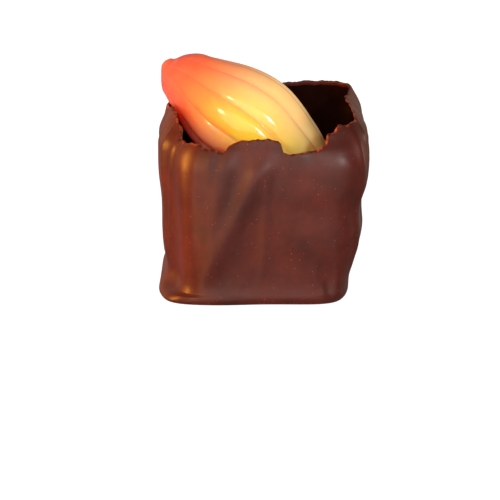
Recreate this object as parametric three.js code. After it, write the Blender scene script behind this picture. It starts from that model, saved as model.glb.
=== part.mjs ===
// A square chocolate bonbon: a thin wavy chocolate cup with a broken rim, and a moulded
// cocoa pod of coloured chocolate that leans in it.
// Millimetres, +Z up. The origin is the centre of the flat underside and -Y is the front.

import * as THREE from "three";

// Cup: how far each wall stands from the centre line, at each height
const WALL_HEIGHTS = [0, 3, 6, 10, 14.5, 19, 22, 24, 26, 29];
const WALLS = {
  left: [16.0, 14.3, 14.4, 14.65, 14.7, 15.05, 15.15, 15.2, 14.7, 14.2],
  right: [14.5, 14.5, 15.2, 16.0, 16.4, 17.1, 17.3, 17.35, 17.7, 17.0],
  front: [15.8, 15.3, 15.3, 15.5, 15.75, 15.8, 15.5, 14.8, 13.7, 12.6],
  back: [15.0, 15.2, 15.5, 15.8, 16.1, 16.4, 16.4, 16.3, 16.1, 15.7],
};
const CORNER_POWER = 7;
const FOOT_RADIUS = 1.7;
const WALL_AT_RIM = 0.5;
const WALL_AT_FLOOR = 1.3;
const FLOOR_HEIGHT = 12.1;
const FLOOR_FILLET = 1.6;

// Rim: its height at each angle, from the front centre (0) round the right (90) to the back (180)
const RIM_HEIGHTS = [
  [-180, 28.9], [-150, 28.9], [-125, 28.3], [-105, 27.9], [-90, 28.15], [-80, 28.4],
  [-70, 28.15], [-62, 27.5], [-56, 26.5], [-51, 25.6], [-48.5, 24.9], [-42, 24.85],
  [-36.5, 25.2], [-33, 25.05], [-28, 24.6], [-25, 24.55], [-22.3, 24.2], [-18.5, 24.1],
  [-17.6, 24.4], [-16.3, 25.1], [-13.7, 25.4], [-10.3, 25.7], [-3.3, 26.0], [1.7, 25.95],
  [6.4, 26.15], [10.1, 26.0], [13.2, 25.6], [14.4, 25.2], [14.8, 24.1], [18.3, 23.95],
  [22.9, 23.95], [26.1, 24.1], [30.7, 24.35], [33.9, 24.7], [36.9, 25.2], [38.3, 25.9],
  [39.2, 26.6], [42.4, 26.9], [43.9, 27.3], [46, 27.8], [47.5, 27.6], [51, 27.8], [54.2, 28.0],
  [59.3, 28.4], [64, 28.6], [75, 28.6], [95, 28.6], [116, 28.8], [135, 29.2], [150, 29.1],
  [165, 28.7], [180, 28.9],
];

// How far the top of the wall curls in over the mouth, at each angle
const CURL_IN = [
  [-180, 0.2], [-150, 1.0], [-125, 1.2], [-100, 0.3], [-90, 0.3], [-77, 1.15], [-65, 2.15],
  [-55, 3.0], [-47, 2.6], [-43, 1.4], [-38, 0.4], [-34, 0], [40, 0], [48, 1.0], [62, 1.8],
  [89, 2.0], [102, 2.5], [114, 2.0], [124, 1.3], [131, 0.8], [140, 0.4], [150, 0], [180, 0.2],
];
const CURL_START = 19;
const CURL_END = 28.3;
const CURL_POWER = 3;

// Folds pressed into the wall: where each crosses mid height, how far it leans, and its size
const FOLD_MID_HEIGHT = 14;
const FOLD_FADE = 3;
const FOLDS = [
  { angle: -48, lean: 0, width: 12, relief: -2.5, low: 1.4, high: 29 },
  { angle: -33, lean: 0, width: 5, relief: 0.12, low: 5, high: 26 },
  { angle: -22, lean: 0.62, width: 5, relief: 0.3, low: 7, high: 24 },
  { angle: -11, lean: 1.6, width: 6, relief: 0.5, low: 4, high: 22 },
  { angle: 5, lean: 0.1, width: 3, relief: 0.15, low: 6, high: 21 },
  { angle: -55.5, lean: 0.4, width: 2.6, relief: 0.18, low: 8, high: 26 },
  { angle: -62.5, lean: 0.18, width: 2.8, relief: 0.2, low: 6, high: 27 },
  { angle: -76, lean: 0.2, width: 4, relief: 0.25, low: 5, high: 26 },
  { angle: -100, lean: -0.4, width: 6, relief: 0.3, low: 4, high: 25 },
  { angle: 50, lean: 0, width: 2.4, relief: 0.4, low: 6, high: 27 },
  { angle: 72, lean: 0.5, width: 5, relief: 0.35, low: 6, high: 26 },
  { angle: 108, lean: -0.5, width: 6, relief: 0.3, low: 5, high: 26 },
  { angle: 150, lean: 0.7, width: 6, relief: 0.3, low: 5, high: 26 },
  { angle: 174, lean: -0.6, width: 7, relief: 0.3, low: 4, high: 25 },
  { angle: -148, lean: 0.6, width: 6, relief: 0.3, low: 5, high: 26 },
  { angle: 37, lean: 0, width: 2.6, relief: -0.45, low: 2, high: 5 },
  { angle: 55, lean: 0, width: 26, relief: -0.75, low: 13.5, high: 16.5 },
  { angle: 55, lean: 0, width: 26, relief: 0.3, low: 8.5, high: 11 },
  { angle: 50, lean: 0, width: 12, relief: -0.6, low: -6, high: 0 },
  { angle: -20, lean: 0, width: 18, relief: 1.0, low: -6, high: 0 },
  { angle: -62, lean: 0, width: 9, relief: 0.5, low: -6, high: 0 },
];

// Crumbled edge of the rim: waves by how many go round the mouth, their height and their start
const CRUMBLE = [
  { waves: 31, height: 0.06, start: 0.4 },
  { waves: 47, height: 0.05, start: 2.1 },
];

// Pod: its place, its half width along its own axis, and how far its middle rises above that
const POD_STEM = [-14.6, 2.6, 34.5];
const POD_PITCH = 37.9;
const POD_YAW = -10.2;
const POD_LENGTH = 33.2;
const POD_RADIUS = 8;
const POD_STATIONS = [0, 0.012, 0.03, 0.05, 0.075, 0.11, 0.16, 0.23, 0.33, 0.5, 0.7, 0.87, 0.95, 1];
const POD_WIDTHS = [0.06, 0.14, 0.2, 0.34, 0.45, 0.54, 0.63, 0.76, 0.92, 1.0, 0.91, 0.66, 0.42, 0.06];
const POD_ARCH = [0, 0.05, -0.3, 0.1, 0.25, 0.48, 0.47, 0.57, 0.8, 1.35, 0.8, 0.42, 0.19, 0];
const POD_LOBES = 10;
const POD_FURROW_ANGLE = 31;
const POD_FURROW_DEPTH = 0.055;
const POD_FURROW_POWER = 1.6;
const POD_FURROW_START = 0.2;

// How finely the surfaces are divided
const CUP_STEPS = 144;
const WALL_RINGS = 13;
const INSIDE_RINGS = 9;
const FOOT_RINGS = 3;
const FILLET_RINGS = 2;
const MIDWAY = 0.5;
const POD_STEPS = 60;
const POD_RINGS = 26;

const radians = THREE.MathUtils.degToRad;
const smoothstep = THREE.MathUtils.smoothstep;

// The height of a smooth curve through the knots (xs, ys) at x
function curveAt(xs, ys, x) {
  const last = xs.length - 1;
  let k = 0;
  while (k < last - 1 && x >= xs[k + 1]) k += 1;
  const slope = (i) => {
    if (i === 0) return (ys[1] - ys[0]) / (xs[1] - xs[0]);
    if (i === last) return (ys[last] - ys[last - 1]) / (xs[last] - xs[last - 1]);
    const before = xs[i] - xs[i - 1];
    const after = xs[i + 1] - xs[i];
    const risingTo = (ys[i] - ys[i - 1]) / before;
    const risingFrom = (ys[i + 1] - ys[i]) / after;
    return (risingTo * after + risingFrom * before) / (before + after);
  };
  const span = xs[k + 1] - xs[k];
  const t = THREE.MathUtils.clamp((x - xs[k]) / span, 0, 1);
  const s = 1 - t;
  return (1 + 2 * t) * s * s * ys[k] + t * s * s * span * slope(k)
    + t * t * (3 - 2 * t) * ys[k + 1] - t * t * s * span * slope(k + 1);
}

// The value at x on straight lines between the knots
function lineAt(knots, x) {
  let k = 0;
  while (k < knots.length - 2 && x >= knots[k + 1][0]) k += 1;
  const [x0, y0] = knots[k];
  const [x1, y1] = knots[k + 1];
  return y0 + (y1 - y0) * THREE.MathUtils.clamp((x - x0) / (x1 - x0), 0, 1);
}

// An angle in degrees, brought between -180 and 180
function wrapAngle(degrees) {
  return THREE.MathUtils.euclideanModulo(degrees + 180, 360) - 180;
}

function rimHeight(angle) {
  let height = lineAt(RIM_HEIGHTS, angle);
  for (const wave of CRUMBLE) {
    height += wave.height * Math.sin(wave.waves * radians(angle) + wave.start);
  }
  return height;
}

// The rounded square outline of the cup at one height
function squareRadius(angle, height) {
  const side = curveAt(WALL_HEIGHTS, angle >= 0 ? WALLS.right : WALLS.left, height);
  const face = curveAt(WALL_HEIGHTS, Math.abs(angle) <= 90 ? WALLS.front : WALLS.back, height);
  const across = Math.abs(Math.sin(radians(angle))) / side;
  const along = Math.abs(Math.cos(radians(angle))) / face;
  return (across ** CORNER_POWER + along ** CORNER_POWER) ** (-1 / CORNER_POWER);
}

function foldRelief(angle, height) {
  let relief = 0;
  for (const fold of FOLDS) {
    const crest = fold.angle + fold.lean * (height - FOLD_MID_HEIGHT);
    const away = wrapAngle(angle - crest) / fold.width;
    const rise = smoothstep(height, fold.low - FOLD_FADE, fold.low + FOLD_FADE);
    const fall = 1 - smoothstep(height, fold.high - FOLD_FADE, fold.high + FOLD_FADE);
    relief += fold.relief * Math.exp(-away * away) * rise * fall;
  }
  return relief;
}

// Distance from the centre line to the outside of the cup, with its rounded foot
function outsideRadius(angle, height) {
  const angles = CURL_IN.map((knot) => knot[0]);
  const curls = CURL_IN.map((knot) => knot[1]);
  const up = Math.max(height - CURL_START, 0) / (CURL_END - CURL_START);
  const intoFoot = Math.max(1 - height / FOOT_RADIUS, 0);
  const tuckedUnder = FOOT_RADIUS * (1 - Math.sqrt(1 - intoFoot * intoFoot));
  return squareRadius(angle, height) + foldRelief(angle, height)
    - curveAt(angles, curls, angle) * up ** CURL_POWER - tuckedUnder;
}

// Wall thickness along the radius, so that it is even across the flat sides
function wallAlongRadius(angle, thickness) {
  const turn = radians(angle);
  return thickness / Math.max(Math.abs(Math.sin(turn)), Math.abs(Math.cos(turn)));
}

// One upright section of the cup at an angle: radius and height from the centre of the
// underside, up the outside, over the rim and down the inside to the floor
function cupSection(angle) {
  const rim = rimHeight(angle);
  const lip = WALL_AT_RIM / 2;
  const section = [[MIDWAY * outsideRadius(angle, 0), 0]];
  for (let i = 0; i < FOOT_RINGS; i += 1) {
    const height = FOOT_RADIUS * (1 - Math.cos(radians((90 * i) / FOOT_RINGS)));
    section.push([outsideRadius(angle, height), height]);
  }
  for (let i = 0; i <= WALL_RINGS; i += 1) {
    const height = FOOT_RADIUS + (rim - lip - FOOT_RADIUS) * (i / WALL_RINGS);
    section.push([outsideRadius(angle, height), height]);
  }
  section.push([outsideRadius(angle, rim) - wallAlongRadius(angle, lip), rim]);
  const filletTop = FLOOR_HEIGHT + FLOOR_FILLET;
  for (let i = 0; i <= INSIDE_RINGS; i += 1) {
    const height = rim - lip + (filletTop - rim + lip) * (i / INSIDE_RINGS);
    const depth = (rim - height) / (rim - FLOOR_HEIGHT);
    const wall = WALL_AT_RIM + (WALL_AT_FLOOR - WALL_AT_RIM) * depth;
    section.push([outsideRadius(angle, height) - wallAlongRadius(angle, wall), height]);
  }
  const atFillet = section[section.length - 1][0];
  for (let i = 1; i <= FILLET_RINGS; i += 1) {
    const turn = radians((90 * i) / FILLET_RINGS);
    section.push([
      atFillet - FLOOR_FILLET * (1 - Math.cos(turn)),
      filletTop - FLOOR_FILLET * Math.sin(turn),
    ]);
  }
  section.push([MIDWAY * atFillet, FLOOR_HEIGHT]);
  return section;
}

// A closed surface over rings of points, shut by one point before the first and after the last
function closedSkin(startPoint, rings, endPoint) {
  const steps = rings[0].length;
  const points = [startPoint, ...rings.flat(), endPoint];
  const at = (ring, step) => 1 + ring * steps + (step % steps);
  const faces = [];
  for (let j = 0; j < steps; j += 1) {
    faces.push(0, at(0, j + 1), at(0, j));
    for (let i = 0; i + 1 < rings.length; i += 1) {
      faces.push(at(i, j), at(i, j + 1), at(i + 1, j + 1));
      faces.push(at(i, j), at(i + 1, j + 1), at(i + 1, j));
    }
    faces.push(points.length - 1, at(rings.length - 1, j), at(rings.length - 1, j + 1));
  }
  const geometry = new THREE.BufferGeometry();
  geometry.setAttribute("position", new THREE.Float32BufferAttribute(points.flat(), 3));
  geometry.setIndex(faces);
  geometry.computeVertexNormals();
  return geometry;
}

function makeCup() {
  const angles = Array.from({ length: CUP_STEPS }, (_, j) => -180 + (360 * j) / CUP_STEPS);
  const sections = angles.map((angle) => cupSection(angle));
  const rings = sections[0].map((_, i) => sections.map((section, j) => {
    const [radius, height] = section[i];
    const turn = radians(angles[j]);
    return [radius * Math.sin(turn), -radius * Math.cos(turn), height];
  }));
  const chocolate = new THREE.MeshStandardMaterial({ color: 0x64332a, roughness: 0.42, metalness: 0 });
  const cup = new THREE.Mesh(closedSkin([0, 0, 0], rings, [0, 0, FLOOR_HEIGHT]), chocolate);
  cup.name = "cup";
  return cup;
}

// Half width of the pod at a part of its length and an angle about its axis
function podRadius(part, angle) {
  const crown = Math.abs(Math.sin(radians(POD_LOBES * (angle - POD_FURROW_ANGLE)) / 2));
  const furrow = (1 - crown) ** POD_FURROW_POWER;
  const depth = POD_FURROW_DEPTH * smoothstep(part, 0, POD_FURROW_START);
  return POD_RADIUS * curveAt(POD_STATIONS, POD_WIDTHS, part) * (1 - depth * furrow);
}

// The pod along its own +Z axis from the stem, with -X as its upper side
function makePod() {
  const rings = [];
  for (let i = 0; i < POD_RINGS; i += 1) {
    const part = (1 - Math.cos((Math.PI * i) / (POD_RINGS - 1))) / 2;
    const arch = curveAt(POD_STATIONS, POD_ARCH, part);
    const ring = [];
    for (let j = 0; j < POD_STEPS; j += 1) {
      const angle = (360 * j) / POD_STEPS;
      const radius = podRadius(part, angle);
      const turn = radians(angle);
      ring.push([radius * Math.cos(turn) - arch, radius * Math.sin(turn), POD_LENGTH * part]);
    }
    rings.push(ring);
  }
  const coloured = new THREE.MeshStandardMaterial({ color: 0xffb85c, roughness: 0.2, metalness: 0 });
  const pod = new THREE.Mesh(closedSkin([0, 0, 0], rings, [0, 0, POD_LENGTH]), coloured);
  pod.name = "cocoa_pod";
  pod.position.set(...POD_STEM);
  pod.rotation.set(0, radians(90 + POD_PITCH), radians(POD_YAW), "ZYX");
  return pod;
}

const bonbon = new THREE.Group();
bonbon.add(makeCup(), makePod());

export default bonbon;
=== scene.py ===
import math
import bpy
import numpy as np
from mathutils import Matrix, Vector, noise


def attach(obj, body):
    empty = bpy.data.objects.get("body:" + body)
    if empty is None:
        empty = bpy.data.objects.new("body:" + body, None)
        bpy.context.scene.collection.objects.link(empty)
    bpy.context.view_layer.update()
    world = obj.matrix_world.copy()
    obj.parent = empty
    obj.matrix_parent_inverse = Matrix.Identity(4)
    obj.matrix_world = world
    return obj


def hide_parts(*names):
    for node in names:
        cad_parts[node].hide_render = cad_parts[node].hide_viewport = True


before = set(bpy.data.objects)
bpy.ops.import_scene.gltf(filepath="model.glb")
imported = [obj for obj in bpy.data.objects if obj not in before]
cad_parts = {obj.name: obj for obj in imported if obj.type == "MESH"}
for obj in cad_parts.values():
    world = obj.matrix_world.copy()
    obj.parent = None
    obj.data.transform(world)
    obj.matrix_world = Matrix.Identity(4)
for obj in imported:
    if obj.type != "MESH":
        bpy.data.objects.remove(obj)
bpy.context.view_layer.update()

# A square chocolate bonbon: a thin wavy chocolate cup with a broken rim, and a moulded
# cocoa pod of coloured chocolate that leans in it. Sizes are in millimetres until the
# meshes are written, and angles in degrees. -Y is the front.
MM = 0.001

# Cup: how far each wall stands from the centre line, at each height, then the power that rounds
# its corners, the radius of its foot, its walls' thickness, and the floor of its hollow
WALL_HEIGHTS = [0, 3, 6, 10, 14.5, 19, 22, 24, 26, 29]
WALLS = {
    "left": [16.0, 14.3, 14.4, 14.65, 14.7, 15.05, 15.15, 15.2, 14.7, 14.2],
    "right": [14.5, 14.5, 15.2, 16.0, 16.4, 17.1, 17.3, 17.35, 17.7, 17.0],
    "front": [15.8, 15.3, 15.3, 15.5, 15.75, 15.8, 15.5, 14.8, 13.7, 12.6],
    "back": [15.0, 15.2, 15.5, 15.8, 16.1, 16.4, 16.4, 16.3, 16.1, 15.7],
}
CORNER_POWER = 7
FOOT_RADIUS = 1.7
WALL_AT_RIM = 0.5
WALL_AT_FLOOR = 1.3
FLOOR_HEIGHT = 12.1
FLOOR_FILLET = 1.6

# Rim: its height at each angle, from the front centre (0) round the right (90) to the back
RIM_HEIGHTS = [
    (-180, 28.9), (-150, 28.9), (-125, 28.3), (-105, 27.9), (-90, 28.15), (-80, 28.4), (-70, 28.15),
    (-62, 27.5), (-56, 26.5), (-51, 25.6), (-48.5, 24.9), (-42, 24.85), (-36.5, 25.2), (-33, 25.05),
    (-28, 24.6), (-25, 24.55), (-22.3, 24.2), (-18.5, 24.1), (-17.6, 24.4), (-16.3, 25.1),
    (-13.7, 25.4), (-10.3, 25.7), (-3.3, 26.0), (1.7, 25.95), (6.4, 26.15), (10.1, 26.0),
    (13.2, 25.6), (14.4, 25.2), (14.8, 24.1), (18.3, 23.95), (22.9, 23.95), (26.1, 24.1),
    (30.7, 24.35), (33.9, 24.7), (36.9, 25.2), (38.3, 25.9), (39.2, 26.6), (42.4, 26.9),
    (43.9, 27.3), (46, 27.8), (47.5, 27.6), (51, 27.8), (54.2, 28.0), (59.3, 28.4), (64, 28.6),
    (75, 28.6), (95, 28.6), (116, 28.8), (135, 29.2), (150, 29.1), (165, 28.7), (180, 28.9),
]

# How far the top of the wall curls in over the mouth, at each angle, and from which height to which
CURL_IN = [
    (-180, 0.2), (-150, 1.0), (-125, 1.2), (-100, 0.3), (-90, 0.3), (-77, 1.15), (-65, 2.15),
    (-55, 3.0), (-47, 2.6), (-43, 1.4), (-38, 0.4), (-34, 0), (40, 0), (48, 1.0), (62, 1.8),
    (89, 2.0), (102, 2.5), (114, 2.0), (124, 1.3), (131, 0.8), (140, 0.4), (150, 0), (180, 0.2),
]
CURL_START = 19
CURL_END = 28.3
CURL_POWER = 3

# Folds pressed into the wall: angle at mid height, lean per mm, width, relief, low and high end.
# An end fades over FOLD_FADE on both sides of it
FOLD_MID_HEIGHT = 14
FOLD_FADE = 3
FOLDS = [
    (-48, 0, 12, -2.5, 1.4, 29), (-33, 0, 5, 0.12, 5, 26), (-22, 0.62, 5, 0.3, 7, 24),
    (-11, 1.6, 6, 0.5, 4, 22), (5, 0.1, 3, 0.15, 6, 21), (-55.5, 0.4, 2.6, 0.18, 8, 26),
    (-62.5, 0.18, 2.8, 0.2, 6, 27), (-76, 0.2, 4, 0.25, 5, 26), (-100, -0.4, 6, 0.3, 4, 25),
    (50, 0, 2.4, 0.4, 6, 27), (72, 0.5, 5, 0.35, 6, 26), (108, -0.5, 6, 0.3, 5, 26),
    (150, 0.7, 6, 0.3, 5, 26), (174, -0.6, 7, 0.3, 4, 25), (-148, 0.6, 6, 0.3, 5, 26),
    (37, 0, 2.6, -0.45, 2, 5), (55, 0, 26, -0.75, 13.5, 16.5), (55, 0, 26, 0.3, 8.5, 11),
    (50, 0, 12, -0.6, -6, 0), (-20, 0, 18, 1.0, -6, 0), (-62, 0, 9, 0.5, -6, 0),
]

# Crumbled edge of the rim: waves by how many go round the mouth, their height and start, then
# chips by size and depth, and the circle on which their noise is taken
CRUMBLE = [(31, 0.06, 0.4), (47, 0.05, 2.1)]
CHIP_SIZE = 0.45
CHIP_DEPTH = 0.09
CHIP_CIRCLE = 15

# Painted glow of light shining through the thin chocolate at the crumbled edge: how far down it
# reaches, how much of the rim it covers and how unevenly, and how far back it fades out
EDGE_DEPTH = 0.16
EDGE_COVER = 0.25
EDGE_CONTRAST = 1.3
EDGE_BACK = 12

# Fine relief of the wall, which the solid leaves out: creases as angle at mid height, lean per mm,
# width, relief, low and high end, then soft waves and dimples by size and depth in mm, the circle
# on which their noise is taken, the heights between which they set in above the foot, and the
# part of the hollow's depth in which the rim's relief dies out inside
CREASES = [
    (-62.5, 0.18, 1.2, 0.05, 6, 27), (-55.5, 0.45, 1.2, 0.04, 8, 26), (-67, 0.1, 1.6, 0.05, 8, 27),
    (-25, 0, 3, 0.2, 20, 25), (53, 0.3, 1.4, 0.12, 14, 28), (57, 0.3, 1.0, 0.16, 20, 28),
    (-9, 1.2, 9, 0.15, 8, 20), (34, 0, 2.6, -0.3, 3.5, 6.5), (40.5, 0, 4, 0.2, 1, 4),
    (34, 0, 1.6, 0.12, 1, 3), (21, 0, 8, 0.3, 23, 30), (-46, 0, 12, -2.2, -6, 1.4),
    (-72, 0, 14, -0.2, -6, 2), (-76, 0, 12, 0.18, 5, 9),
]
WAVE_SIZE = 6
WAVE_DEPTH = 0.13
WAVE_STRETCH = 2.5
DIMPLE_SIZE = 1.8
DIMPLE_DEPTH = 0.018
WAVE_CIRCLE = 16
WAVE_START = 0.2
WAVE_FULL = 2.5
RELIEF_INSIDE = 0.25

# Pod: where its stem end is, how it leans, its length and half width. At each part of its length
# it has a part of that width, and its middle line rises by some mm. The furrows between its lobes
# have a depth as a part of the width, and set in over the first part of the length
POD_STEM = (-14.6, 2.6, 34.5)
POD_PITCH = 37.9
POD_YAW = -10.2
POD_LENGTH = 33.2
POD_RADIUS = 8
POD_STATIONS = [0, 0.012, 0.03, 0.05, 0.075, 0.11, 0.16, 0.23, 0.33, 0.5, 0.7, 0.87, 0.95, 1]
POD_WIDTHS = [0.06, 0.14, 0.215, 0.34, 0.45, 0.54, 0.63, 0.76, 0.92, 1.0, 0.91, 0.66, 0.42, 0.06]
POD_ARCH = [0, 0.05, -0.12, 0.1, 0.25, 0.48, 0.47, 0.57, 0.8, 1.35, 0.8, 0.42, 0.19, 0]
POD_LOBES = 10
POD_FURROW_ANGLE = 31
POD_FURROW_DEPTH = 0.055
POD_FURROW_POWER = 1.6
POD_FURROW_START = 0.2

# How finely the surfaces are divided. The rings under the cup and on the floor of its hollow are
# given as parts of the radius. The first rows of faces inside keep the outside's colour; the rest are
# painted shade
CUP_STEPS = 720
UNDER_PARTS = (0.3, 0.6, 0.85, 0.95)
FOOT_RINGS = 10
WALL_RINGS = 170
LIP_RINGS = 6
INSIDE_RINGS = 70
LIT_INSIDE_ROWS = 2
FILLET_RINGS = 5
FLOOR_PARTS = (0.6, 0.3)
POD_STEPS = 400
POD_RINGS = 240

# Looks of the cup: colours in sRGB from 0 to 255, noise scales per metre, bumps in metres
OUTSIDE_LOOK = {"dark": (58, 18, 10), "light": (80, 27, 15), "speck": (116, 60, 42), "ior": 1.29}
# The inside's look is painted shade: a near-black copy of the chocolate that also shines less
PAINTED_SHADE_LOOK = {"dark": (16, 5, 3), "light": (30, 9, 5), "speck": (34, 12, 7), "ior": 1.12}
# A painted glow, as of light shining through the thin chocolate of the rim
EDGE_GLOW_COLOUR = (138, 72, 42)
CLOUD_SCALE = 140
MOTTLE_SCALE = 1100
MOTTLE_STOPS = [(0.35, (120, 120, 120)), (0.65, (137, 135, 133))]
MOTTLE_STRENGTH = 0.6
GLOSS_SCALE = 300
GLOSS_RANGE = (0.36, 0.46)
GRAIN_SCALE = 4200
GRAIN_DETAIL = 4.0
GRAIN_STRENGTH = 0.2
GRAIN_BUMP = 0.00003

# Specks of bloom: cells per metre, radius in cells, the part of it at full strength, the random
# values at which a cell's speck starts to show and shows fully, and bump
SPECK_SCALE = 1500
SPECK_RADIUS = 0.15
SPECK_CORE = 0.4
SPECK_CELLS = (0.45, 0.95)
SPECK_STRENGTH = 0.5
SPECK_BUMP = 0.00004

# Most values of a noise texture lie in this range
NOISE_LOW = 0.3
NOISE_HIGH = 0.7

# Noise on the surface: how fast its finer layers weaken, how much finer each is, and their number
FRACTAL_FALL = 1.0
FRACTAL_STEP = 2.0
FRACTAL_LAYERS = 3

# Looks of the pod: colours from its stem to its tip, then tints by the value stored on the
# surface, where that value starts to tint, strength and colour
POD_FADE = [
    (0.0, (232, 62, 56)),
    (0.16, (248, 104, 82)),
    (0.3, (242, 114, 72)),
    (0.42, (242, 156, 74)),
    (0.52, (246, 194, 74)),
    (0.62, (248, 212, 78)),
    (0.8, (250, 216, 78)),
    (1.0, (252, 206, 44)),
]
POD_TINTS = [
    ("furrow", 0.4, 0.22, (226, 150, 112)),
    # A painted sheen: a pale reflection along the pod's top
    ("painted_top_sheen", 0.0, 0.5, (246, 204, 186)),
    # Partly the pod's pinker underside, partly painted fill light on its shaded underside
    ("under", 0.0, 0.85, (255, 172, 150)),
]
MIST_SCALE = 2600
MIST_STOPS = [(NOISE_LOW, (120, 120, 120)), (NOISE_HIGH, (136, 136, 136))]
MIST_STRENGTH = 0.35
POD_GRAIN_SCALE = 1500
POD_GRAIN_STRENGTH = 0.1
POD_GRAIN_BUMP = 0.00004

# Place in the pod's fade: at the stem, gained along the length, and lost on the underside
FADE_START = 0.18
FADE_GROWTH = 0.9
FADE_UNDER = 0.14

# Where the tints of the underside and the upper side set in, the one partly painted fill light and
# the other a painted sheen: by how squarely the surface faces down or up, and by part of the length
UNDER_FACING = (0, 0.85)
UNDER_ALONG = (0.22, 0.4)
UPPER_FACING = (0.1, 0.95)
UPPER_ALONG = (0.12, 0.45)

# Camera, with its place in mm and the height of its view in degrees
CAMERA_TARGET = (-1.0, 0.0, 4.6)
CAMERA_DISTANCE = 330
CAMERA_HEIGHT_ANGLE = 16
CAMERA_LENS = 148.5
CAMERA_SENSOR = 36

# Table and studio, in metres: the table's size, grey and glow, how strongly it mirrors a lamp and
# how much wider that image is, then the point that the lamps face, and the world around
TABLE_RADIUS = 1.5
TABLE_SIDES = 96
TABLE_GREY = 0.3
TABLE_GLOW = 0.95
TABLE_SHINE = 0.12
TABLE_BLUR = 0.12
STUDIO_MIDDLE = (0, 0, 0.018)
WORLD_COLOUR = (1, 0.91, 0.91, 1)
WORLD_STRENGTH = 0.25

# Lamps: name, azimuth, elevation, distance and size in metres, power in watts, colour, and how
# strongly the table mirrors it
LAMPS = [
    ("key", 22, 21, 0.6, 0.035, 1.75, (1.0, 0.92, 0.9), TABLE_SHINE),
    ("left_lamp", -31, 17, 0.5, 0.045, 1.2, (1.0, 0.5, 0.18), 0.6),
    ("front_soft", -9, 8, 0.6, 0.6, 2.3, (1.0, 0.86, 0.78), TABLE_SHINE),
    ("back_left", -138, 14, 0.6, 0.5, 0.45, (1.0, 0.52, 0.22), 0.03),
    ("back_right", 138, 14, 0.6, 0.5, 0.4, (1.0, 0.52, 0.22), 0.03),
    ("warm_side", -82, 13, 0.4, 0.2, 4.4, (1.0, 0.4, 0.06), 0.03),
    ("right_soft", 98, 12, 0.5, 0.12, 1.0, (1.0, 0.72, 0.54), TABLE_SHINE),
]


def smoothstep(x, low, high):
    """0 below low, 1 above high, and a smooth rise between"""
    part = np.clip((x - low) / (high - low), 0, 1)
    return part * part * (3 - 2 * part)


def curve_at(xs, ys, x):
    """The height of a smooth curve through the knots (xs, ys) at x"""
    xs = np.array(xs, float)
    ys = np.array(ys, float)
    step = np.diff(xs)
    rise = np.diff(ys) / step
    inner = (rise[:-1] * step[1:] + rise[1:] * step[:-1]) / (step[:-1] + step[1:])
    slope = np.concatenate([rise[:1], inner, rise[-1:]])
    span = np.clip(np.searchsorted(xs, x, side="right") - 1, 0, len(xs) - 2)
    done = np.clip((x - xs[span]) / step[span], 0, 1)
    left = 1 - done
    start = (1 + 2 * done) * left * left * ys[span] + done * left * left * step[span] * slope[span]
    end = done * done * (3 - 2 * done) * ys[span + 1] - done * done * left * step[span] * slope[span + 1]
    return start + end


def knots_at(knots, x, smooth):
    """The height at x of a smooth or straight line through (x, height) knots"""
    xs = [knot[0] for knot in knots]
    ys = [knot[1] for knot in knots]
    return curve_at(xs, ys, x) if smooth else np.interp(x, xs, ys)


def wrap_angle(degrees):
    """The same angle, from -180 to 180"""
    return (degrees + 180) % 360 - 180


def around_cup(radius, angle, height):
    """Points round the cup's centre line"""
    turn = np.radians(angle)
    return np.stack([radius * np.sin(turn), -radius * np.cos(turn), height], -1)


def fractal(points, size):
    """Smooth noise, about -1 to 1 and the same each time, at points in mm, with features of the
    given size"""
    values = []
    for point in (points.reshape(-1, 3) / size).tolist():
        values.append(noise.fractal(Vector(point), FRACTAL_FALL, FRACTAL_STEP, FRACTAL_LAYERS))
    return np.array(values).reshape(points.shape[:-1])


def rim_height(angle):
    """The height of the broken rim, with its crumbs and chips"""
    height = knots_at(RIM_HEIGHTS, angle, smooth=False)
    for waves, size, start in CRUMBLE:
        height = height + size * np.sin(waves * np.radians(angle) + start)
    return height + CHIP_DEPTH * fractal(around_cup(CHIP_CIRCLE, angle, 0 * angle), CHIP_SIZE)


def square_radius(angle, height):
    """The rounded square outline of the cup at one height"""
    side = np.where(
        angle >= 0,
        curve_at(WALL_HEIGHTS, WALLS["right"], height),
        curve_at(WALL_HEIGHTS, WALLS["left"], height),
    )
    face = np.where(
        np.abs(angle) <= 90,
        curve_at(WALL_HEIGHTS, WALLS["front"], height),
        curve_at(WALL_HEIGHTS, WALLS["back"], height),
    )
    across = np.abs(np.sin(np.radians(angle))) / side
    along = np.abs(np.cos(np.radians(angle))) / face
    return (across**CORNER_POWER + along**CORNER_POWER) ** (-1 / CORNER_POWER)


def fold_relief(folds, angle, height):
    """How far a list of folds moves the wall out, or in where it is negative"""
    relief = 0
    for at, lean, width, size, low, high in folds:
        crest = at + lean * (height - FOLD_MID_HEIGHT)
        away = wrap_angle(angle - crest) / width
        rise = smoothstep(height, low - FOLD_FADE, low + FOLD_FADE)
        fall = 1 - smoothstep(height, high - FOLD_FADE, high + FOLD_FADE)
        relief = relief + size * np.exp(-away * away) * rise * fall
    return relief


def outside_radius(angle, height):
    """Distance from the centre line to the outside of the cup, with its rounded foot"""
    up = np.maximum(height - CURL_START, 0) / (CURL_END - CURL_START)
    into_foot = np.clip(1 - height / FOOT_RADIUS, 0, 1)
    tucked_under = FOOT_RADIUS * (1 - np.sqrt(1 - into_foot * into_foot))
    curl = knots_at(CURL_IN, angle, smooth=True) * up**CURL_POWER
    return square_radius(angle, height) + fold_relief(FOLDS, angle, height) - curl - tucked_under


def fine_relief(angle, height):
    """Creases, soft waves and dimples that only the visible surface has"""
    around = around_cup(WAVE_CIRCLE, angle, height)
    waves = WAVE_DEPTH * fractal(around / (1, 1, WAVE_STRETCH), WAVE_SIZE)
    dimples = DIMPLE_DEPTH * fractal(around, DIMPLE_SIZE)
    above_foot = smoothstep(height, WAVE_START, WAVE_FULL)
    return (waves + dimples) * above_foot + fold_relief(CREASES, angle, height)


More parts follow.
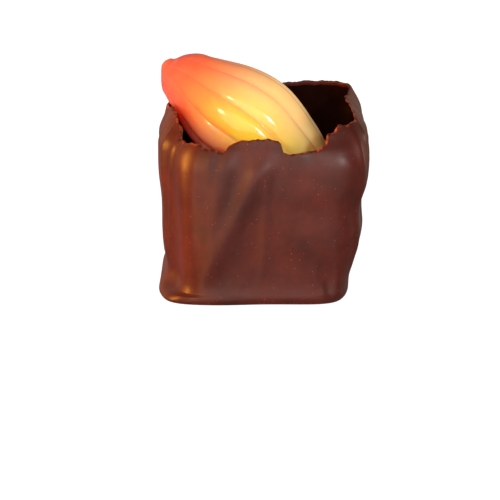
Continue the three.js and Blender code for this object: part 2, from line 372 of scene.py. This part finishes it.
def wall_along_radius(angle, thickness):
    """Wall thickness along the radius, so that it is even across the flat sides"""
    turn = np.radians(angle)
    return thickness / np.maximum(np.abs(np.sin(turn)), np.abs(np.cos(turn)))


def outer_rings(angle, lip_start):
    """Radius and height of the rings from under the cup, round its foot and up its outside"""
    rings = []
    for part in UNDER_PARTS:
        rings.append((part * outside_radius(angle, 0 * angle), 0 * angle))
    for i in range(FOOT_RINGS):
        height = FOOT_RADIUS * (1 - math.cos(math.pi / 2 * i / FOOT_RINGS)) + 0 * angle
        rings.append((outside_radius(angle, height), height))
    for i in range(WALL_RINGS + 1):
        height = FOOT_RADIUS + (lip_start - FOOT_RADIUS) * (i / WALL_RINGS)
        rings.append((outside_radius(angle, height) + fine_relief(angle, height), height))
    return rings


def lip_rings(angle, lip_start, rim_relief):
    """Radius and height of the rings over the rounded edge of the wall"""
    lip = WALL_AT_RIM / 2
    rings = []
    for i in range(1, LIP_RINGS):
        turn = math.pi * i / LIP_RINGS
        across = wall_along_radius(angle, lip * (1 - math.cos(turn)))
        height = lip_start + lip * math.sin(turn)
        rings.append((outside_radius(angle, height) + rim_relief - across, height))
    return rings


def inner_rings(angle, rim, lip_start, rim_relief):
    """Radius and height of the rings down the inside, where the wall grows thicker, and over the
    fillet and the floor of the hollow"""
    fillet_top = FLOOR_HEIGHT + FLOOR_FILLET
    rings = []
    for i in range(INSIDE_RINGS + 1):
        height = lip_start + (fillet_top - lip_start) * (i / INSIDE_RINGS)
        depth = (rim - height) / (rim - FLOOR_HEIGHT)
        wall = WALL_AT_RIM + (WALL_AT_FLOOR - WALL_AT_RIM) * depth
        relief = rim_relief * np.clip(1 - depth / RELIEF_INSIDE, 0, 1)
        across = wall_along_radius(angle, wall) - relief
        rings.append((outside_radius(angle, height) - across, height))
    at_fillet = rings[-1][0]
    for turn in np.linspace(1 / FILLET_RINGS, 1, FILLET_RINGS) * math.pi / 2:
        radius = at_fillet - FLOOR_FILLET * (1 - math.cos(turn))
        rings.append((radius, fillet_top - FLOOR_FILLET * math.sin(turn) + 0 * angle))
    for part in FLOOR_PARTS:
        rings.append((part * at_fillet, FLOOR_HEIGHT + 0 * angle))
    return rings


def cup_sections(angle):
    """Radius, height and distance below the rim of each ring of the cup, from under its
    centre, up the outside, over the rim and down the inside"""
    rim = rim_height(angle)
    lip_start = rim - WALL_AT_RIM / 2
    rim_relief = fine_relief(angle, lip_start)
    rings = outer_rings(angle, lip_start)
    rings += lip_rings(angle, lip_start, rim_relief)
    rings += inner_rings(angle, rim, lip_start, rim_relief)
    radius = np.array([ring[0] for ring in rings])
    height = np.array([ring[1] for ring in rings])
    return radius, height, rim - height


def closed_mesh(name, start_point, rings, end_point):
    """A smooth closed mesh, in metres, over rings of points in mm and a point at each end"""
    count, steps, _ = rings.shape
    points = np.concatenate([[start_point], rings.reshape(-1, 3), [end_point]]) * MM
    at = 1 + np.arange(count * steps).reshape(count, steps)
    following = np.roll(at, -1, axis=1)
    quads = np.stack([at[:-1], following[:-1], following[1:], at[1:]], -1).reshape(-1, 4)
    start = [(0, after, here) for here, after in zip(at[0].tolist(), following[0].tolist())]
    last = len(points) - 1
    end = [(last, here, after) for here, after in zip(at[-1].tolist(), following[-1].tolist())]
    mesh = bpy.data.meshes.new(name)
    mesh.from_pydata(points.tolist(), [], start + quads.tolist() + end)
    mesh.polygons.foreach_set("use_smooth", [True] * len(mesh.polygons))
    mesh.update()
    piece = bpy.data.objects.new(name, mesh)
    bpy.context.scene.collection.objects.link(piece)
    return piece


def store(piece, name, values):
    """Keep one number for each point of a closed mesh, for its material"""
    attribute = piece.data.attributes.new(name, "FLOAT", "POINT")
    padded = np.concatenate([[values[0, 0]], values.ravel(), [values[-1, 0]]])
    attribute.data.foreach_set("value", padded.astype(np.float32))


def nodes_of(name):
    """A new material with its nodes, links and shader"""
    material = bpy.data.materials.new(name)
    material.use_nodes = True
    tree = material.node_tree
    return material, tree.nodes, tree.links, tree.nodes["Principled BSDF"]


def noise_node(nodes, links, vector, scale, detail=3.0):
    """The value of a noise texture"""
    node = nodes.new("ShaderNodeTexNoise")
    node.inputs["Scale"].default_value = scale
    node.inputs["Detail"].default_value = detail
    links.new(vector, node.inputs["Vector"])
    return node.outputs["Fac"]


def ramp_node(nodes, links, value, stops):
    """A colour ramp with (place, colour) stops, colours in sRGB from 0 to 255. A new stop lies in
    the middle until its place is set"""
    node = nodes.new("ShaderNodeValToRGB")
    ramp = node.color_ramp
    while len(ramp.elements) < len(stops):
        ramp.elements.new(0.5)
    for element, (place, colour) in zip(ramp.elements, stops):
        element.position = place
        element.color = (*linear(colour), 1)
    links.new(value, node.inputs["Fac"])
    return node.outputs["Color"]


def linear(colour):
    """An sRGB colour from 0 to 255 as the linear values that shaders take, by the formula of the
    sRGB standard"""
    parts = [part / 255 for part in colour]
    return [part / 12.92 if part <= 0.04045 else ((part + 0.055) / 1.055) ** 2.4 for part in parts]


def mix_node(nodes, links, factor, first, second, blend="MIX"):
    """A mix of two colours. Each value is a socket, a number or an sRGB colour from 0 to 255"""
    node = nodes.new("ShaderNodeMix")
    node.data_type = "RGBA"
    node.blend_type = blend
    sockets = {socket.identifier: socket for socket in node.inputs}
    values = {"Factor_Float": factor, "A_Color": first, "B_Color": second}
    for name, value in values.items():
        if isinstance(value, bpy.types.NodeSocket):
            links.new(value, sockets[name])
        elif isinstance(value, (int, float)):
            sockets[name].default_value = value
        else:
            sockets[name].default_value = (*linear(value), 1)
    return next(socket for socket in node.outputs if socket.identifier == "Result_Color")


def range_node(nodes, links, value, low, high, to_low, to_high):
    """A value moved from one range to another"""
    node = nodes.new("ShaderNodeMapRange")
    node.inputs["From Min"].default_value = low
    node.inputs["From Max"].default_value = high
    node.inputs["To Min"].default_value = to_low
    node.inputs["To Max"].default_value = to_high
    links.new(value, node.inputs["Value"])
    return node.outputs["Result"]


def attribute_node(nodes, name):
    """A value that was stored on the points of the mesh"""
    node = nodes.new("ShaderNodeAttribute")
    node.attribute_name = name
    return node.outputs["Fac"]


def bump_node(nodes, links, height, strength, distance, under=None):
    """A bump, on top of the bump under it where there is one"""
    node = nodes.new("ShaderNodeBump")
    node.inputs["Strength"].default_value = strength
    node.inputs["Distance"].default_value = distance
    links.new(height, node.inputs["Height"])
    if under is not None:
        links.new(under, node.inputs["Normal"])
    return node.outputs["Normal"]


def specks_node(nodes, links, vector):
    """Soft dots for specks of bloom, one or none in each cell"""
    cells = nodes.new("ShaderNodeTexVoronoi")
    cells.inputs["Scale"].default_value = SPECK_SCALE
    links.new(vector, cells.inputs["Vector"])
    away = cells.outputs["Distance"]
    dot = range_node(nodes, links, away, SPECK_RADIUS, SPECK_CORE * SPECK_RADIUS, 0, 1)
    picked = nodes.new("ShaderNodeSeparateColor")
    links.new(cells.outputs["Color"], picked.inputs["Color"])
    shown = range_node(nodes, links, picked.outputs["Red"], *SPECK_CELLS, 0, 1)
    both = nodes.new("ShaderNodeMath")
    both.operation = "MULTIPLY"
    links.new(dot, both.inputs[0])
    links.new(shown, both.inputs[1])
    return both.outputs["Value"]


def chocolate_material(name, dark, light, speck, ior):
    """Satin chocolate, mottled between two sRGB colours, with bloom specks and a painted glow of light on
    its crumbled edge
    """
    material, nodes, links, shader = nodes_of(name)
    place = nodes.new("ShaderNodeTexCoord").outputs["Object"]
    clouds = noise_node(nodes, links, place, CLOUD_SCALE)
    mottle = noise_node(nodes, links, place, MOTTLE_SCALE)
    colour = ramp_node(nodes, links, clouds, [(NOISE_LOW, dark), (NOISE_HIGH, light)])
    patch = ramp_node(nodes, links, mottle, MOTTLE_STOPS)
    colour = mix_node(nodes, links, MOTTLE_STRENGTH, colour, patch, "OVERLAY")
    specks = specks_node(nodes, links, place)
    colour = mix_node(nodes, links, specks, colour, speck)
    # The edge's colour is a painted glow of light through the thin rim
    edge = attribute_node(nodes, "edge")
    colour = mix_node(nodes, links, edge, colour, EDGE_GLOW_COLOUR)
    links.new(colour, shader.inputs["Base Color"])
    rough = noise_node(nodes, links, place, GLOSS_SCALE)
    rough = range_node(nodes, links, rough, NOISE_LOW, NOISE_HIGH, *GLOSS_RANGE)
    links.new(rough, shader.inputs["Roughness"])
    shader.inputs["IOR"].default_value = ior
    grain = noise_node(nodes, links, place, GRAIN_SCALE, GRAIN_DETAIL)
    normal = bump_node(nodes, links, grain, GRAIN_STRENGTH, GRAIN_BUMP)
    normal = bump_node(nodes, links, specks, SPECK_STRENGTH, SPECK_BUMP, normal)
    links.new(normal, shader.inputs["Normal"])
    return material


def coloured_material():
    """Glossy coloured chocolate that fades along the pod, with a little light passing into it"""
    material, nodes, links, shader = nodes_of("coloured_chocolate")
    place = nodes.new("ShaderNodeTexCoord").outputs["Object"]
    colour = ramp_node(nodes, links, attribute_node(nodes, "fade"), POD_FADE)
    # Among these tints are a painted sheen on the pod's top and painted fill light on its underside
    for name, start, strength, tint in POD_TINTS:
        amount = range_node(nodes, links, attribute_node(nodes, name), start, 1, 0, strength)
        colour = mix_node(nodes, links, amount, colour, tint)
    mist = noise_node(nodes, links, place, MIST_SCALE)
    mist = ramp_node(nodes, links, mist, MIST_STOPS)
    colour = mix_node(nodes, links, MIST_STRENGTH, colour, mist, "OVERLAY")
    links.new(colour, shader.inputs["Base Color"])
    shader.inputs["Roughness"].default_value = 0.15
    shader.inputs["IOR"].default_value = 1.46
    shader.inputs["Subsurface Weight"].default_value = 0.8
    shader.inputs["Subsurface Radius"].default_value = (1.0, 0.4, 0.22)
    shader.inputs["Subsurface Scale"].default_value = 0.018
    grain = noise_node(nodes, links, place, POD_GRAIN_SCALE)
    normal = bump_node(nodes, links, grain, POD_GRAIN_STRENGTH, POD_GRAIN_BUMP)
    links.new(normal, shader.inputs["Normal"])
    return material


def painted_edge_glow(rings, below_rim):
    """How strongly each point takes the painted glow of light on the crumbled edge: in patches, and none
    at the back
    """
    patches = np.clip(EDGE_COVER + EDGE_CONTRAST * fractal(rings, CHIP_SIZE), 0, 1)
    in_front = smoothstep(-rings[..., 1], -EDGE_BACK, 0)
    return patches * in_front * np.exp(-((below_rim / EDGE_DEPTH) ** 2))


def faces_in_painted_shade(count):
    """1 for the faces down the inside of the cup, from a little below its rim, which take the painted
    shade,
    0 for the others. Before them come one row of faces round the point under the cup, one row for each
    ring as far as the rim's inside, and the rows inside that keep the outside's colour"""
    rings_before = len(UNDER_PARTS) + FOOT_RINGS + WALL_RINGS + LIP_RINGS
    first = (1 + rings_before + LIT_INSIDE_ROWS) * CUP_STEPS
    return (np.arange(count) >= first).astype(np.int32)


def make_cup():
    """The chocolate cup, with its outside and its inside in painted shade: a near-black copy of the
    chocolate
    """
    angle = np.linspace(-180, 180, CUP_STEPS, endpoint=False)
    radius, height, below_rim = cup_sections(angle)
    rings = around_cup(radius, angle, height)
    cup = closed_mesh("chocolate_cup", (0, 0, 0), rings, (0, 0, FLOOR_HEIGHT))
    # A painted glow of light along the crumbled rim
    store(cup, "edge", painted_edge_glow(rings, below_rim))
    cup.data.materials.append(chocolate_material("dark_chocolate", **OUTSIDE_LOOK))
    # The inside takes a near-black copy of the chocolate as painted shade
    cup.data.materials.append(chocolate_material("chocolate_in_painted_shade", **PAINTED_SHADE_LOOK))
    cup.data.polygons.foreach_set("material_index", faces_in_painted_shade(len(cup.data.polygons)))
    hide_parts("cup")
    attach(cup, "root")
    return cup


def pod_axes():
    """The pod's own axes in the frame: its underside, its far side and its length"""
    tilt = math.radians(90 + POD_PITCH)
    yaw = math.radians(POD_YAW)
    under = np.array([math.cos(tilt) * math.cos(yaw), math.cos(tilt) * math.sin(yaw), -math.sin(tilt)])
    far = np.array([-math.sin(yaw), math.cos(yaw), 0])
    length = np.array([math.sin(tilt) * math.cos(yaw), math.sin(tilt) * math.sin(yaw), math.cos(tilt)])
    return under, far, length


def pod_rings(part, angle, furrow):
    """The pod's points, by part of its length and angle from its underside"""
    width = curve_at(POD_STATIONS, POD_WIDTHS, part)
    depth = POD_FURROW_DEPTH * smoothstep(part, 0, POD_FURROW_START)
    radius = POD_RADIUS * width * (1 - depth * furrow)
    down = radius * np.cos(np.radians(angle)) - curve_at(POD_STATIONS, POD_ARCH, part)
    back = radius * np.sin(np.radians(angle))
    along = POD_LENGTH * part + 0 * angle
    under, far, length = pod_axes()
    return np.array(POD_STEM) + down[..., None] * under + back[..., None] * far + along[..., None] * length


def store_tints(pod, part, angle, furrow):
    """Keep on the pod's points their place in its fade, and how strongly each tint applies"""
    facing_down = np.cos(np.radians(angle))
    underside = smoothstep(facing_down, *UNDER_FACING)
    painted_top_sheen = smoothstep(-facing_down, *UPPER_FACING)
    store(pod, "fade", np.clip(FADE_START + FADE_GROWTH * part - FADE_UNDER * underside, 0, 1))
    # The underside's tint: partly its pinker colour, partly painted fill light
    store(pod, "under", underside * smoothstep(part, *UNDER_ALONG))
    # A painted sheen on the pod's top
    store(pod, "painted_top_sheen", painted_top_sheen * smoothstep(part, *UPPER_ALONG))
    store(pod, "furrow", furrow + 0 * part)


def make_pod():
    """The cocoa pod, as rings that lie closer together at its two ends"""
    part = (1 - np.cos(np.linspace(0, math.pi, POD_RINGS)))[:, None] / 2
    angle = np.linspace(0, 360, POD_STEPS, endpoint=False)[None, :]
    crown = np.abs(np.sin(np.radians(POD_LOBES * (angle - POD_FURROW_ANGLE)) / 2))
    furrow = (1 - crown) ** POD_FURROW_POWER
    _, _, length = pod_axes()
    tip = np.array(POD_STEM) + POD_LENGTH * length
    pod = closed_mesh("coloured_pod", POD_STEM, pod_rings(part, angle, furrow), tip)
    store_tints(pod, part, angle, furrow)
    pod.data.materials.append(coloured_material())
    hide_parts("cocoa_pod")
    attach(pod, "root")


def make_floor():
    """A white table. It keeps out of the chocolate's reflections, and lets the light of the
    lamps' mirror images through from below"""
    bpy.ops.mesh.primitive_circle_add(vertices=TABLE_SIDES, radius=TABLE_RADIUS, fill_type="NGON")
    floor = bpy.context.object
    floor.name = "floor"
    material, _, _, shader = nodes_of("white_table")
    shader.inputs["Base Color"].default_value = (TABLE_GREY, TABLE_GREY, TABLE_GREY, 1)
    shader.inputs["Emission Color"].default_value = (1, 1, 1, 1)
    shader.inputs["Emission Strength"].default_value = TABLE_GLOW
    shader.inputs["Roughness"].default_value = 0.1
    shader.inputs["IOR"].default_value = 1.35
    floor.data.materials.append(material)
    floor.visible_glossy = False
    floor.visible_shadow = False


def direction(azimuth, elevation):
    """The unit vector towards a place in the studio: azimuth 0 is in front, 90 on the right"""
    turn = math.radians(azimuth)
    rise = math.radians(elevation)
    return Vector((math.sin(turn) * math.cos(rise), -math.cos(turn) * math.cos(rise), math.sin(rise)))


def make_light(name, location, size, power, colour):
    """A round lamp that faces the middle of the studio"""
    lamp = bpy.data.lights.new(name, "AREA")
    lamp.shape = "DISK"
    lamp.size = size
    lamp.energy = power
    lamp.color = colour
    light = bpy.data.objects.new(name, lamp)
    light.location = location
    away = Vector(location) - Vector(STUDIO_MIDDLE)
    light.rotation_euler = away.to_track_quat("Z", "Y").to_euler()
    bpy.context.scene.collection.objects.link(light)
    return light


def make_lamp(name, azimuth, elevation, distance, size, power, colour, shine):
    """A lamp, and its weaker and wider mirror image in the glossy table"""
    x, y, z = Vector(STUDIO_MIDDLE) + distance * direction(azimuth, elevation)
    above = make_light(name, (x, y, z), size, power, colour)
    below = make_light(name + "_in_table", (x, y, -z), size + TABLE_BLUR, shine * power, colour)
    return above, below


def make_studio(cup):
    """The lamps, of which the one called warm_side lights the cup alone, and a pale world"""
    lights = {lamp[0]: make_lamp(*lamp) for lamp in LAMPS}
    lit = bpy.data.collections.new("lit_from_the_side")
    lit.objects.link(cup)
    for light in lights["warm_side"]:
        light.light_linking.receiver_collection = lit
    world = bpy.data.worlds.new("studio")
    world.use_nodes = True
    background = world.node_tree.nodes["Background"]
    background.inputs["Color"].default_value = WORLD_COLOUR
    background.inputs["Strength"].default_value = WORLD_STRENGTH
    bpy.context.scene.world = world


def make_camera():
    """A camera in front, a little above the bonbon"""
    camera_data = bpy.data.cameras.new("camera")
    camera_data.lens = CAMERA_LENS
    camera_data.sensor_width = CAMERA_SENSOR
    camera = bpy.data.objects.new("camera", camera_data)
    towards = direction(0, CAMERA_HEIGHT_ANGLE)
    camera.location = (Vector(CAMERA_TARGET) + CAMERA_DISTANCE * towards) * MM
    camera.rotation_euler = towards.to_track_quat("Z", "Y").to_euler()
    bpy.context.scene.collection.objects.link(camera)
    bpy.context.scene.camera = camera


bpy.context.scene.view_settings.view_transform = "Standard"
cup = make_cup()
make_pod()
make_floor()
make_studio(cup)
make_camera()
